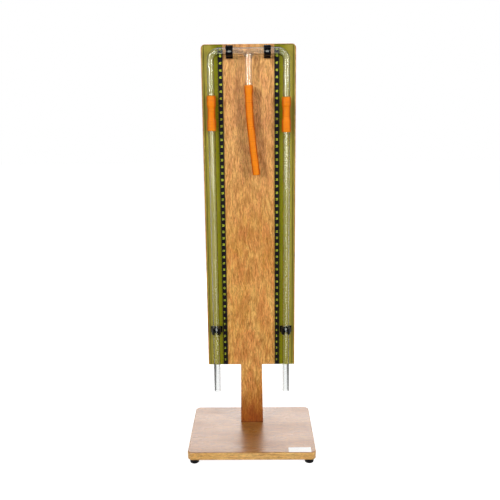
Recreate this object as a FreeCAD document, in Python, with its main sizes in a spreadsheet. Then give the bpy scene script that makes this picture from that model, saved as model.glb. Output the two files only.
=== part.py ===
import FreeCAD, Part
import math
import os
import re

import Sketcher

# A hare apparatus for comparing the densities of two liquids. Millimetres.
# It stands on z = 0, centred on its base, with its front towards -y and x to the right.

SIZES = {
    "base_width": 195.0,
    "base_depth": 150.0,
    "base_thickness": 12.0,
    "base_corner_radius": 8.0,
    "base_top_rounding": 2.0,
    "base_underside_rounding": 1.0,
    "foot_height": 8.0,
    "foot_top_diameter": 15.0,
    "foot_sole_diameter": 13.6,
    "foot_rounding": 1.2,
    "foot_inset": 10.0,
    "foot_recess_depth": 3.6,
    "foot_screw_length": 13.0,
    "foot_screw_shank": 3.5,
    "foot_screw_head": 7.0,
    "foot_screw_head_height": 2.2,
    "foot_recess_clearance": 0.5,
    "neck_screw_length": 45.0,
    "neck_screw_shank": 4.0,
    "neck_screw_head": 8.0,
    "neck_screw_head_height": 2.6,
    "neck_screw_spacing": 18.0,
    "screw_clearance": 0.2,
    "pilot_spare_depth": 2.0,
    "board_setback": 94.5,
    "board_thickness": 12.0,
    "board_rounding": 0.9,
    "neck_height": 102.5,
    "neck_width": 34.0,
    "neck_foot_flare": 1.2,
    "shoulder_radius": 1.5,
    "panel_width": 139.0,
    "panel_height": 496.0,
    "panel_top_radius": 6.0,
    "scale_width": 30.0,
    "scale_thickness": 1.0,
    "scale_side_margin": 1.8,
    "scale_end_margin": 0.8,
    "scale_corner_radius": 4.5,
    "number_band_width": 6.6,
    "number_band_thickness": 0.2,
    "number_band_inset": 0.3,
    "number_band_top_gap": 4.2,
    "number_pitch": 10.0,
    "number_rise": 9.2,
    "number_window_width": 4.4,
    "number_window_height": 3.8,
    "glass_diameter": 10.5,
    "glass_wall": 1.2,
    "glass_polish": 0.4,
    "glass_standoff": 10.5,
    "tube_spacing": 110.0,
    "bridge_drop": 11.0,
    "bend_radius": 12.0,
    "limb_drop": 76.0,
    "stem_diameter": 10.2,
    "stem_length": 57.5,
    "stem_flare_radius": 4.5,
    "coupling_gap": 22.2,
    "lower_tube_length": 427.3,
    "sleeve_length": 50.5,
    "sleeve_diameter": 11.3,
    "sleeve_grip_diameter": 13.3,
    "sleeve_bore": 8.0,
    "sleeve_taper": 4.0,
    "sleeve_end_rounding": 0.7,
    "right_sleeve_drop": 2.6,
    "hose_diameter": 11.3,
    "hose_bore": 8.0,
    "hose_grip_diameter": 12.8,
    "hose_engagement": 10.0,
    "hose_taper": 3.0,
    "clip_length": 10.0,
    "clip_foot_width": 18.4,
    "clip_foot_thickness": 3.0,
    "clip_foot_rounding": 1.5,
    "clip_wall": 2.0,
    "clip_mouth": 4.2,
    "clip_lip_rounding": 0.8,
    "clip_web_radius": 0.8,
    "clip_grip_clearance": 0.05,
    "upper_clip_spacing": 55.0,
    "lower_clip_rise": 61.5,
    "clip_screw_length": 12.0,
    "clip_screw_shank": 2.4,
    "clip_screw_head": 4.6,
    "clip_screw_head_height": 1.4,
    "clip_screw_sink": 0.6,
}

# Places that follow from the sizes, written as formulas of them.
BASE_TOP = "(foot_height + base_thickness)"
PANEL_BOTTOM = f"({BASE_TOP} + neck_height)"
BOARD_TOP = f"({PANEL_BOTTOM} + panel_height)"
BOARD_FRONT = "(board_setback - base_depth / 2)"
SCALE_FRONT = f"({BOARD_FRONT} - scale_thickness)"
GLASS_AXIS = f"({BOARD_FRONT} - glass_standoff)"
BRIDGE_HEIGHT = f"({BOARD_TOP} - bridge_drop)"
LIMB_END = f"({BRIDGE_HEIGHT} - limb_drop)"
LOWER_TUBE_TOP = f"({LIMB_END} - coupling_gap)"
LOWER_TUBE_END = f"({LOWER_TUBE_TOP} - lower_tube_length)"
SLEEVE_END = f"({LIMB_END} - coupling_gap / 2 - sleeve_length / 2)"
HOSE_TOP = f"({BRIDGE_HEIGHT} - stem_length + hose_engagement)"
LOWER_CLIP_HEIGHT = f"({PANEL_BOTTOM} + lower_clip_rise)"

# The head of a clip's screw lies just behind the glass; its point reaches this far into the board.
CLIP_HEAD_LEVEL = "(glass_standoff - glass_diameter / 2 - clip_screw_sink)"
CLIP_PILOT_DEPTH = f"clip_screw_length - {CLIP_HEAD_LEVEL} + pilot_spare_depth"

# The route of the hanging hose from its top, as x and z in its own frame.
HOSE_ROUTE = [(0.0, 0.0), (0.0, -30.0), (4.5, -81.0), (10.6, -130.0)]
# Each of its arcs begins and ends this share of the shorter run away from the corner.
HOSE_ARC_SHARE = 0.45

X_AXIS = FreeCAD.Vector(1, 0, 0)
Y_AXIS = FreeCAD.Vector(0, 1, 0)
Z_AXIS = FreeCAD.Vector(0, 0, 1)

# Lengths that differ by less are the same; a curved edge's box is up to BOX_SLACK too large.
SAME = 1e-3
BOX_SLACK = 0.1

doc = FreeCAD.newDocument("hare_apparatus")
sheet = doc.addObject("Spreadsheet::Sheet", "sizes")
for row, (alias, size) in enumerate(SIZES.items(), start=1):
    sheet.set(f"A{row}", alias)
    sheet.set(f"B{row}", str(size))
    sheet.setAlias(f"B{row}", alias)
doc.recompute()

nodes = []


def cell(formula):
    """Return the formula with each size name written as a cell of the sheet."""
    return re.sub(r"[a-z_]+", lambda word: f"sizes.{word[0]}" if word[0] in SIZES else word[0], formula)


def value(formula):
    """Return the number that a formula of sizes gives."""
    return float(sheet.evalExpression(cell(formula)))


def bind(item, **formulas):
    """Tie properties of an object to formulas of the sizes."""
    for name, formula in formulas.items():
        item.setExpression(name, cell(formula))


def place(item, across="0", depth="0", height="0", rotation=None):
    """Give an object its place, tied to the sizes, and its turn."""
    if rotation is not None:
        item.Placement = FreeCAD.Placement(FreeCAD.Vector(), rotation)
    item.setExpression("Placement.Base.x", cell(across))
    item.setExpression("Placement.Base.y", cell(depth))
    item.setExpression("Placement.Base.z", cell(height))


def new_body(label):
    """Start a body that becomes one node."""
    body = doc.addObject("PartDesign::Body", label)
    body.Label = label
    nodes.append(body)
    return body


def new_sketch(body, name, role, level="0"):
    """Add a sketch on one of the body's own planes, at a level along the plane's normal."""
    sketch = body.newObject("Sketcher::SketchObject", f"{body.Name}_{name}")
    plane = next(item for item in body.Origin.OriginFeatures if item.Role == role)
    sketch.AttachmentSupport = [(plane, "")]
    sketch.MapMode = "FlatFace"
    sketch.setExpression("AttachmentOffset.Base.z", cell(level))
    return sketch


def pin(sketch, geometry, point, across, up):
    """Hold a point of a sketch at a place given by two formulas."""
    for kind, formula, axis in (("DistanceX", across, -2), ("DistanceY", up, -1)):
        if formula == "0":
            sketch.addConstraint(Sketcher.Constraint("PointOnObject", geometry, point, axis))
        else:
            constraint = Sketcher.Constraint(kind, -1, 1, geometry, point, value(formula))
            index = sketch.addConstraint(constraint)
            sketch.setExpression(f"Constraints[{index}]", cell(formula))


def add_outline(sketch, corners):
    """Draw a closed outline of straight edges through corners given as pairs of formulas."""
    points = [FreeCAD.Vector(value(across), value(up), 0) for across, up in corners]
    first = sketch.GeometryCount
    for start, end in zip(points, points[1:] + points[:1]):
        sketch.addGeometry(Part.LineSegment(start, end), False)
    for index, (across, up) in enumerate(corners):
        following = first + (index + 1) % len(corners)
        sketch.addConstraint(Sketcher.Constraint("Coincident", first + index, 2, following, 1))
        pin(sketch, first + index, 1, across, up)


def add_box_outline(sketch, left, right, low, high):
    """Draw a rectangle between four formulas."""
    add_outline(sketch, [(left, low), (right, low), (right, high), (left, high)])


def add_circle(sketch, across, up, diameter):
    """Draw a circle."""
    centre = FreeCAD.Vector(value(across), value(up), 0)
    circle = Part.Circle(centre, FreeCAD.Vector(0, 0, 1), value(diameter) / 2)
    index = sketch.addGeometry(circle, False)
    pin(sketch, index, 3, across, up)
    constraint = sketch.addConstraint(Sketcher.Constraint("Diameter", index, value(diameter)))
    sketch.setExpression(f"Constraints[{constraint}]", cell(diameter))


def add_path(sketch, corners, radii):
    """Draw straight runs through the corners, joined by tangent arcs of the given radii.

    The runs lie on construction lines between the pinned corners.
    """
    points = [FreeCAD.Vector(value(across), value(up), 0) for across, up in corners]
    guides = []
    for start, end in zip(points, points[1:]):
        guides.append(sketch.addGeometry(Part.LineSegment(start, end), True))
    for index, guide in enumerate(guides):
        pin(sketch, guide, 1, *corners[index])
        if guide != guides[-1]:
            sketch.addConstraint(Sketcher.Constraint("Coincident", guide, 2, guides[index + 1], 1))
    pin(sketch, guides[-1], 2, *corners[-1])

    bends = [bend_places(*points[index:index + 3], value(radius)) for index, radius in enumerate(radii)]
    starts = [points[0]] + [end for begin, middle, end in bends]
    ends = [begin for begin, middle, end in bends] + [points[-1]]
    runs = [sketch.addGeometry(Part.LineSegment(start, end), False) for start, end in zip(starts, ends)]
    sketch.addConstraint(Sketcher.Constraint("Coincident", runs[0], 1, guides[0], 1))
    sketch.addConstraint(Sketcher.Constraint("Coincident", runs[-1], 2, guides[-1], 2))
    for run, guide in zip(runs[1:], guides[1:]):
        sketch.addConstraint(Sketcher.Constraint("PointOnObject", run, 1, guide))
    for run, guide in zip(runs[:-1], guides[:-1]):
        sketch.addConstraint(Sketcher.Constraint("PointOnObject", run, 2, guide))
    for index, (bend, radius) in enumerate(zip(bends, radii)):
        add_bend(sketch, runs[index], runs[index + 1], bend, radius)


def bend_places(before, corner, after, radius):
    """Return where the arc of a corner begins, its middle and where it ends."""
    toward = (before - corner).normalize()
    away = (after - corner).normalize()
    half_turn = (math.pi - toward.getAngle(away)) / 2
    reach = radius * math.tan(half_turn)
    inward = (toward + away).normalize()
    middle = corner + inward * (radius / math.cos(half_turn) - radius)
    return corner + toward * reach, middle, corner + away * reach


def add_bend(sketch, run_in, run_out, places, radius):
    """Add the arc between two runs, tangent to both."""
    begin, middle, end = places
    turns_left = (middle - begin).cross(end - middle).z > 0
    enter, leave = (1, 2) if turns_left else (2, 1)
    curve = Part.Arc(begin, middle, end) if turns_left else Part.Arc(end, middle, begin)
    arc = sketch.addGeometry(curve, False)
    sketch.addConstraint(Sketcher.Constraint("Tangent", run_in, 2, arc, enter))
    sketch.addConstraint(Sketcher.Constraint("Tangent", run_out, 1, arc, leave))
    index = sketch.addConstraint(Sketcher.Constraint("Radius", arc, value(radius)))
    sketch.setExpression(f"Constraints[{index}]", cell(radius))


def add_feature(body, kind, name, sketch):
    """Add a feature that is driven by a sketch."""
    feature = body.newObject(f"PartDesign::{kind}", f"{body.Name}_{name}")
    feature.Profile = sketch
    sketch.Visibility = False
    return feature


def pad(body, name, sketch, length, flipped=False, both_ways=False):
    """Extrude a sketch."""
    feature = add_feature(body, "Pad", name, sketch)
    feature.Reversed = flipped
    feature.SideType = "Symmetric" if both_ways else "One side"
    bind(feature, Length=length)
    doc.recompute()
    return feature


def pocket(body, name, sketch, depth, flipped=False, both_ways=False):
    """Cut a sketch into the body and make sure that it took something away."""
    before = body.Shape.Volume
    feature = add_feature(body, "Pocket", name, sketch)
    feature.Reversed = flipped
    feature.SideType = "Symmetric" if both_ways else "One side"
    bind(feature, Length=depth)
    doc.recompute()
    require_less(body, name, before)
    return feature


def turn(body, name, sketch):
    """Revolve a sketch all the way round its upright axis."""
    feature = add_feature(body, "Revolution", name, sketch)
    feature.ReferenceAxis = (sketch, ["V_Axis"])
    feature.Angle = 360.0
    doc.recompute()
    return feature


def groove(body, name, sketch, axis="V_Axis"):
    """Turn a sketch round one of its axes or edges, cut that out and make sure that it took something away."""
    before = body.Shape.Volume
    feature = add_feature(body, "Groove", name, sketch)
    feature.ReferenceAxis = (sketch, [axis])
    feature.Angle = 360.0
    doc.recompute()
    require_less(body, name, before)
    return feature


def pipe(body, kind, name, section, path):
    """Carry a section along a path."""
    feature = add_feature(body, kind, name, section)
    feature.Spine = (path, [f"Edge{index + 1}" for index in range(len(path.Shape.Edges))])
    path.Visibility = False
    doc.recompute()
    return feature


def require_less(body, name, before):
    """Stop if a cut left the body as it was."""
    if body.Shape.Volume > before - SAME:
        raise RuntimeError(f"{body.Label}: {name} cuts nothing")


def round_edges(body, name, radius, chosen):
    """Fillet the edges of the body's last feature for which chosen(edge) is true."""
    base = body.Tip
    edges = [f"Edge{index}" for index, edge in enumerate(base.Shape.Edges, start=1) if chosen(edge)]
    if not edges:
        raise RuntimeError(f"{body.Label}: {name} finds no edge")
    feature = body.newObject("PartDesign::Fillet", f"{body.Name}_{name}")
    feature.Base = (base, edges)
    bind(feature, Radius=radius)
    doc.recompute()
    return feature


def near(first, second):
    """Tell whether two lengths are the same."""
    return abs(first - second) < SAME


def flat_at(edge, axis, level):
    """Tell whether an edge lies wholly at one level along an axis."""
    box = edge.BoundBox
    low, high = {"x": (box.XMin, box.XMax), "y": (box.YMin, box.YMax), "z": (box.ZMin, box.ZMax)}[axis]
    return near(low, level) and near(high, level)


def runs_along(edge, axis):
    """Tell whether an edge is straight and parallel to an axis."""
    if edge.Curve.TypeId != "Part::GeomLine":
        return False
    return near(abs(edge.Curve.Direction.dot(axis)), 1)


def make_backboard():
    """Tall panel with a narrow neck below, cut from one board.

    Its frame has the neck's foot at z = 0 and the front face at y = 0.
    """
    body = new_body("backboard")
    top = "(neck_height + panel_height)"
    half = "panel_width / 2"
    outline = new_sketch(body, "outline", "XZ_Plane")
    add_outline(outline, [
        ("-neck_width / 2 - neck_foot_flare", "0"),
        ("neck_width / 2 + neck_foot_flare", "0"),
        ("neck_width / 2", "neck_height"),
        (half, "neck_height"),
        (half, top),
        (f"-{half}", top),
        (f"-{half}", "neck_height"),
        ("-neck_width / 2", "neck_height"),
    ])
    pad(body, "board", outline, "board_thickness", flipped=True)

    def is_top_corner(edge):
        return runs_along(edge, Y_AXIS) and flat_at(edge, "z", value(top))

    def is_shoulder(edge):
        at_neck = near(abs(edge.BoundBox.Center.x), value("neck_width / 2"))
        return runs_along(edge, Y_AXIS) and flat_at(edge, "z", value("neck_height")) and at_neck

    round_edges(body, "top_corners", "panel_top_radius", is_top_corner)
    round_edges(body, "shoulders", "shoulder_radius", is_shoulder)

    def is_face_edge(edge):
        on_face = flat_at(edge, "y", 0) or flat_at(edge, "y", value("board_thickness"))
        return on_face and not flat_at(edge, "z", 0)

    round_edges(body, "eased_edges", "board_rounding", is_face_edge)

    neck_pilots = new_sketch(body, "neck_pilots", "XY_Plane")
    for side in ("-", ""):
        add_circle(neck_pilots, f"{side}neck_screw_spacing / 2", "board_thickness / 2", "neck_screw_shank")
    depth = "neck_screw_length - base_thickness + pilot_spare_depth"
    pocket(body, "neck_pilot_holes", neck_pilots, depth, flipped=True)

    clip_pilots = new_sketch(body, "clip_pilots", "XZ_Plane")
    for side in ("-", ""):
        upper = "neck_height + panel_height - bridge_drop"
        add_circle(clip_pilots, f"{side}upper_clip_spacing / 2", upper, "clip_screw_shank")
        lower = "neck_height + lower_clip_rise"
        add_circle(clip_pilots, f"{side}tube_spacing / 2", lower, "clip_screw_shank")
    pocket(body, "clip_pilot_holes", clip_pilots, CLIP_PILOT_DEPTH)
    place(body, "0", BOARD_FRONT, BASE_TOP)


def make_base_board():
    """Rectangular board with rounded corners and eased edges, drilled from below."""
    body = new_body("base_board")
    outline = new_sketch(body, "outline", "XY_Plane")
    add_box_outline(outline, "-base_width / 2", "base_width / 2", "-base_depth / 2", "base_depth / 2")
    pad(body, "board", outline, "base_thickness")
    round_edges(body, "corners", "base_corner_radius", lambda edge: runs_along(edge, Z_AXIS))
    top = value("base_thickness")
    round_edges(body, "top_edge", "base_top_rounding", lambda edge: flat_at(edge, "z", top))
    round_edges(body, "underside_edge", "base_underside_rounding", lambda edge: flat_at(edge, "z", 0))

    neck_depth = f"{BOARD_FRONT} + board_thickness / 2"
    neck_holes = new_sketch(body, "neck_holes", "XY_Plane")
    for side in ("-", ""):
        add_circle(neck_holes, f"{side}neck_screw_spacing / 2", neck_depth, "neck_screw_shank + screw_clearance")
    pocket(body, "neck_screw_holes", neck_holes, "base_thickness", flipped=True)
    for name, side in (("left", "-"), ("right", "")):
        across = f"{side}neck_screw_spacing / 2"
        sink = new_sketch(body, f"{name}_sink", "XZ_Plane", f"-({neck_depth})")
        add_outline(sink, [
            (across, "0"),
            (f"{across} + neck_screw_head / 2 + screw_clearance / 2", "0"),
            (f"{across} + neck_screw_shank / 2 + screw_clearance / 2", "neck_screw_head_height"),
            (across, "neck_screw_head_height"),
        ])
        groove(body, f"{name}_countersink", sink, "Edge4")

    foot_pilots = new_sketch(body, "foot_pilots", "XY_Plane")
    for across, depth in foot_places():
        add_circle(foot_pilots, across, depth, "foot_screw_shank")
    depth = "foot_recess_depth - foot_screw_head_height + foot_screw_length - foot_height + pilot_spare_depth"
    pocket(body, "foot_pilot_holes", foot_pilots, depth, flipped=True)
    place(body, "0", "0", "foot_height")


def foot_places():
    """Return the plan places of the feet: front left, front right, rear left, rear right."""
    across = "(base_width / 2 - foot_inset)"
    depth = "(base_depth / 2 - foot_inset)"
    return [(f"-{across}", f"-{depth}"), (across, f"-{depth}"), (f"-{across}", depth), (across, depth)]


def make_feet():
    """Four tapered rubber feet, each with a recess for the head of its screw."""
    labels = ("front_left_foot", "front_right_foot", "rear_left_foot", "rear_right_foot")
    for label, (across, depth) in zip(labels, foot_places()):
        body = new_body(label)
        section = new_sketch(body, "section", "XZ_Plane")
        recess = "foot_screw_head / 2 + foot_recess_clearance"
        hole = "foot_screw_shank / 2 + screw_clearance / 2"
        add_outline(section, [
            (recess, "0"),
            ("foot_sole_diameter / 2", "0"),
            ("foot_top_diameter / 2", "foot_height"),
            (hole, "foot_height"),
            (hole, "foot_recess_depth"),
            (recess, "foot_recess_depth"),
        ])
        turn(body, "cup", section)

        def is_sole_edge(edge):
            return flat_at(edge, "z", 0) and near(edge.BoundBox.XMax, value("foot_sole_diameter / 2"))

        round_edges(body, "sole_rounding", "foot_rounding", is_sole_edge)
        place(body, across, depth, "0")


def make_screw(name, length, shank, head, head_height, countersunk):
    """One wood screw, its head's flat side at z = 0 and its point up the z axis."""
    shape = "Part::Cone" if countersunk else "Part::Cylinder"
    top = doc.addObject(shape, f"{name}_head")
    if countersunk:
        bind(top, Radius1=f"{head} / 2", Radius2=f"{shank} / 2", Height=head_height)
    else:
        bind(top, Radius=f"{head} / 2", Height=head_height)
    stalk = doc.addObject("Part::Cylinder", f"{name}_shank")
    bind(stalk, Radius=f"{shank} / 2", Height=f"{length} - {shank}")
    point = doc.addObject("Part::Cone", f"{name}_point")
    bind(point, Radius1=f"{shank} / 2", Radius2="0 mm", Height=shank)
    place(point, height=f"{length} - {shank}")
    screw = doc.addObject("Part::MultiFuse", name)
    screw.Shapes = [top, stalk, point]
    screw.Refine = True
    return screw


def make_screw_group(label, places, rotation, **sizes):
    """A group of like screws in one node."""
    screws = []
    for index, (across, depth, height) in enumerate(places, start=1):
        screw = make_screw(f"{label}_{index}", **sizes)
        place(screw, across, depth, height, rotation)
        screws.append(screw)
    group = doc.addObject("Part::Compound", label)
    group.Label = label
    group.Links = screws
    nodes.append(group)


def make_screws():
    """The screws of the feet, of the neck and of the clips."""
    upright = FreeCAD.Rotation()
    inward = FreeCAD.Rotation(X_AXIS, -90)
    head_seat = "foot_recess_depth - foot_screw_head_height"
    make_screw_group(
        "foot_screws", [(across, depth, head_seat) for across, depth in foot_places()], upright,
        length="foot_screw_length", shank="foot_screw_shank", head="foot_screw_head",
        head_height="foot_screw_head_height", countersunk=False)
    neck_depth = f"{BOARD_FRONT} + board_thickness / 2"
    make_screw_group(
        "neck_screws",
        [(f"{side}neck_screw_spacing / 2", neck_depth, "foot_height") for side in ("-", "")], upright,
        length="neck_screw_length", shank="neck_screw_shank", head="neck_screw_head",
        head_height="neck_screw_head_height", countersunk=True)
    level = f"{BOARD_FRONT} - {CLIP_HEAD_LEVEL}"
    places = [(f"{side}upper_clip_spacing / 2", level, BRIDGE_HEIGHT) for side in ("-", "")]
    places += [(f"{side}tube_spacing / 2", level, LOWER_CLIP_HEIGHT) for side in ("-", "")]
    make_screw_group(
        "clip_screws", places, inward,
        length="clip_screw_length", shank="clip_screw_shank", head="clip_screw_head",
        head_height="clip_screw_head_height", countersunk=True)


def make_scales():
    """Two half-metre scale strips on the front of the panel, each drilled for its clip's screw.

    Each strip's frame has the panel's bottom edge at z = 0 and the strip's back at y = 0.
    """
    for label, side, other in (("left_scale", "-", ""), ("right_scale", "", "-")):
        body = new_body(label)
        outer = f"{side}(panel_width / 2 - scale_side_margin)"
        inner = f"{side}(panel_width / 2 - scale_side_margin - scale_width)"
        strip = new_sketch(body, "strip", "XZ_Plane")
        add_outline(strip, [
            (outer, "scale_end_margin"),
            (inner, "scale_end_margin"),
            (inner, "panel_height - scale_end_margin"),
            (outer, "panel_height - scale_end_margin"),
        ])
        pad(body, "strip_sheet", strip, "scale_thickness")
        outer_place = value(outer)
        top = value("panel_height - scale_end_margin")

        def is_outer_top(edge):
            at_corner = near(edge.BoundBox.Center.x, outer_place) and near(edge.BoundBox.Center.z, top)
            return runs_along(edge, Y_AXIS) and at_corner

        round_edges(body, "outer_corner", "scale_corner_radius", is_outer_top)
        hole = new_sketch(body, "screw_hole", "XZ_Plane")
        add_circle(hole, f"{side}tube_spacing / 2", "lower_clip_rise", "clip_screw_shank + screw_clearance")
        pocket(body, "clip_screw_hole", hole, "scale_thickness", flipped=True)
        place(body, "0", BOARD_FRONT, PANEL_BOTTOM)


def make_number_bands():
    """The dark bands printed down the scales' inner sides, with a clear window for each number.

    Each band's frame has the panel's bottom edge at z = 0 and the band's back at y = 0.
    """
    last = "panel_height - number_band_top_gap"
    count = f"floor(({last} - number_rise - number_window_height / 2) / number_pitch) + 1"
    for label, side in (("left_number_band", "-"), ("right_number_band", "")):
        body = new_body(label)
        inner = "(panel_width / 2 - scale_side_margin - scale_width + number_band_inset)"
        outline = new_sketch(body, "outline", "XZ_Plane")
        add_box_outline(outline, f"{side}{inner}", f"{side}({inner} + number_band_width)",
                        "scale_end_margin + number_band_inset", last)
        pad(body, "film", outline, "number_band_thickness")

        middle = f"{side}({inner} + number_band_width / 2)"
        window = new_sketch(body, "window", "XZ_Plane")
        add_box_outline(window, f"{middle} - number_window_width / 2", f"{middle} + number_window_width / 2",
                        "number_rise - number_window_height / 2", "number_rise + number_window_height / 2")
        first = pocket(body, "first_window", window, "number_band_thickness", flipped=True)
        before = body.Shape.Volume
        row = body.newObject("PartDesign::LinearPattern", f"{label}_windows")
        row.Originals = [first]
        row.Direction = (window, ["V_Axis"])
        row.Mode = "Spacing"
        bind(row, Offset="number_pitch", Occurrences=count)
        body.Tip = row
        doc.recompute()
        require_less(body, "windows", before)
        place(body, "0", SCALE_FRONT, PANEL_BOTTOM)


def make_glass_tee():
    """One piece of blown glass: a bridge, a limb bent down at each end and a stem in the middle.

    Its frame has the crossing of the bridge's and the stem's axes at the origin.
    """
    body = new_body("glass_tee")
    half = "tube_spacing / 2"
    bore = "glass_diameter - 2 * glass_wall"
    path = new_sketch(body, "path", "XZ_Plane")
    corners = [(f"-{half}", "-limb_drop"), (f"-{half}", "0"), (half, "0"), (half, "-limb_drop")]
    add_path(path, corners, ["bend_radius", "bend_radius"])
    section = new_sketch(body, "section", "XY_Plane", "-limb_drop")
    add_circle(section, f"-{half}", "0", "glass_diameter")
    doc.recompute()
    pipe(body, "AdditivePipe", "bent_tube", section, path)

    stem = new_sketch(body, "stem_section", "XY_Plane")
    add_circle(stem, "0", "0", "stem_diameter")
    pad(body, "stem", stem, "stem_length", flipped=True)

    def is_stem_seam(edge):
        box = edge.BoundBox
        reach = value("stem_diameter / 2") + BOX_SLACK
        low = -value("glass_diameter / 2") - BOX_SLACK
        return box.XMax < reach and box.XMin > -reach and box.ZMin > low

    round_edges(body, "stem_flare", "stem_flare_radius", is_stem_seam)

    bore_section = new_sketch(body, "bore_section", "XY_Plane", "-limb_drop")
    add_circle(bore_section, f"-{half}", "0", bore)
    doc.recompute()
    before = body.Shape.Volume
    pipe(body, "SubtractivePipe", "bent_bore", bore_section, path)
    require_less(body, "bent_bore", before)
    stem_bore = new_sketch(body, "stem_bore_section", "XY_Plane", "-stem_length")
    add_circle(stem_bore, "0", "0", "stem_diameter - 2 * glass_wall")
    pocket(body, "stem_bore", stem_bore, "stem_length", flipped=True)

    ends = (value("-limb_drop"), value("-stem_length"))
    round_edges(body, "polished_ends", "glass_polish", lambda edge: any(flat_at(edge, "z", end) for end in ends))
    place(body, "0", GLASS_AXIS, BRIDGE_HEIGHT)


def make_lower_tubes():
    """Two straight glass tubes, open at both ends, with fire-polished rims."""
    for label, side in (("left_lower_tube", "-"), ("right_lower_tube", "")):
        body = new_body(label)
        ring = new_sketch(body, "ring", "XY_Plane")
        add_circle(ring, "0", "0", "glass_diameter")
        add_circle(ring, "0", "0", "glass_diameter - 2 * glass_wall")
        pad(body, "tube", ring, "lower_tube_length")
        round_edges(body, "polished_ends", "glass_polish", lambda edge: edge.Curve.TypeId == "Part::GeomCircle")
        place(body, f"{side}tube_spacing / 2", GLASS_AXIS, LOWER_TUBE_END)


def make_sleeves():
    """Rubber couplings, wider where they are stretched over the glass than between its ends."""
    for label, side, drop in (("left_rubber_sleeve", "-", "0"), ("right_rubber_sleeve", "", "right_sleeve_drop")):
        body = new_body(label)
        glass = "glass_diameter / 2"
        grip = "sleeve_grip_diameter / 2"
        slim = "sleeve_diameter / 2"
        bore = "sleeve_bore / 2"
        lower_rim = f"(sleeve_length / 2 - coupling_gap / 2 + {drop})"
        upper_rim = f"(sleeve_length / 2 + coupling_gap / 2 + {drop})"
        section = new_sketch(body, "section", "XZ_Plane")
        add_outline(section, [
            (glass, "0"),
            (grip, "0"),
            (grip, lower_rim),
            (slim, f"{lower_rim} + sleeve_taper"),
            (slim, f"{upper_rim} - sleeve_taper"),
            (grip, upper_rim),
            (grip, "sleeve_length"),
            (glass, "sleeve_length"),
            (glass, upper_rim),
            (bore, f"{upper_rim} - sleeve_taper / 2"),
            (bore, f"{lower_rim} + sleeve_taper / 2"),
            (glass, lower_rim),
        ])
        turn(body, "tube", section)

        def is_at_end(edge):
            return flat_at(edge, "z", 0) or flat_at(edge, "z", value("sleeve_length"))

        def is_neck(edge):
            is_level = near(edge.BoundBox.ZLength, 0)
            return is_level and not is_at_end(edge) and edge.BoundBox.XMax > value(slim) - SAME

        def is_rim(edge):
            return is_at_end(edge) and near(edge.BoundBox.XMax, value(grip))

        round_edges(body, "soft_neck", "sleeve_taper", is_neck)
        round_edges(body, "soft_rims", "sleeve_end_rounding", is_rim)
        place(body, f"{side}tube_spacing / 2", GLASS_AXIS, f"{SLEEVE_END} - {drop}")


def hose_radii():
    """Return the radius of each bend of the hose, as large as its runs allow."""
    points = [FreeCAD.Vector(across, 0, up) for across, up in HOSE_ROUTE]
    radii = []
    for before, corner, after in zip(points, points[1:], points[2:]):
        shorter = min(corner.distanceToPoint(before), corner.distanceToPoint(after))
        turn_angle = (corner - before).getAngle(after - corner)
        radii.append(HOSE_ARC_SHARE * shorter / math.tan(turn_angle / 2))
    return radii


def make_suction_hose():
    """Rubber hose hanging from the stem, swollen where it is pushed over the glass.

    Its frame has the middle of the hose's upper rim at the origin.
    """
    body = new_body("suction_hose")
    radii = hose_radii()
    print("hose bend radii", [round(radius, 1) for radius in radii])
    path = new_sketch(body, "path", "XZ_Plane")
    corners = [tuple(str(part) if part else "0" for part in point) for point in HOSE_ROUTE]
    add_path(path, corners, [str(radius) for radius in radii])
    section = new_sketch(body, "section", "XY_Plane")
    add_circle(section, "0", "0", "hose_diameter")
    add_circle(section, "0", "0", "hose_bore")
    doc.recompute()
    tube = pipe(body, "AdditivePipe", "tube", section, path)
    ring_area = math.pi / 4 * (value("hose_diameter") ** 2 - value("hose_bore") ** 2)
    expected = ring_area * path.Shape.Length
    print("hose length", round(path.Shape.Length, 2), "volume", round(tube.Shape.Volume, 1), round(expected, 1))

    outer = "hose_diameter / 2"
    within = "(hose_diameter + hose_bore) / 4"
    swell = new_sketch(body, "swell_section", "XZ_Plane")
    add_outline(swell, [
        (within, "0"),
        ("hose_grip_diameter / 2", "0"),
        ("hose_grip_diameter / 2", "-hose_engagement"),
        (outer, "-hose_engagement - hose_taper"),
        (within, "-hose_engagement - hose_taper"),
    ])
    turn(body, "swell", swell)
    seat = new_sketch(body, "seat_section", "XZ_Plane")
    add_outline(seat, [
        ("0", "0"),
        ("stem_diameter / 2", "0"),
        ("stem_diameter / 2", "-hose_engagement"),
        ("hose_bore / 2", "-hose_engagement - hose_taper / 2"),
        ("0", "-hose_engagement - hose_taper / 2"),
    ])
    groove(body, "stem_seat", seat)
    place(body, "0", GLASS_AXIS, HOSE_TOP)


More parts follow.
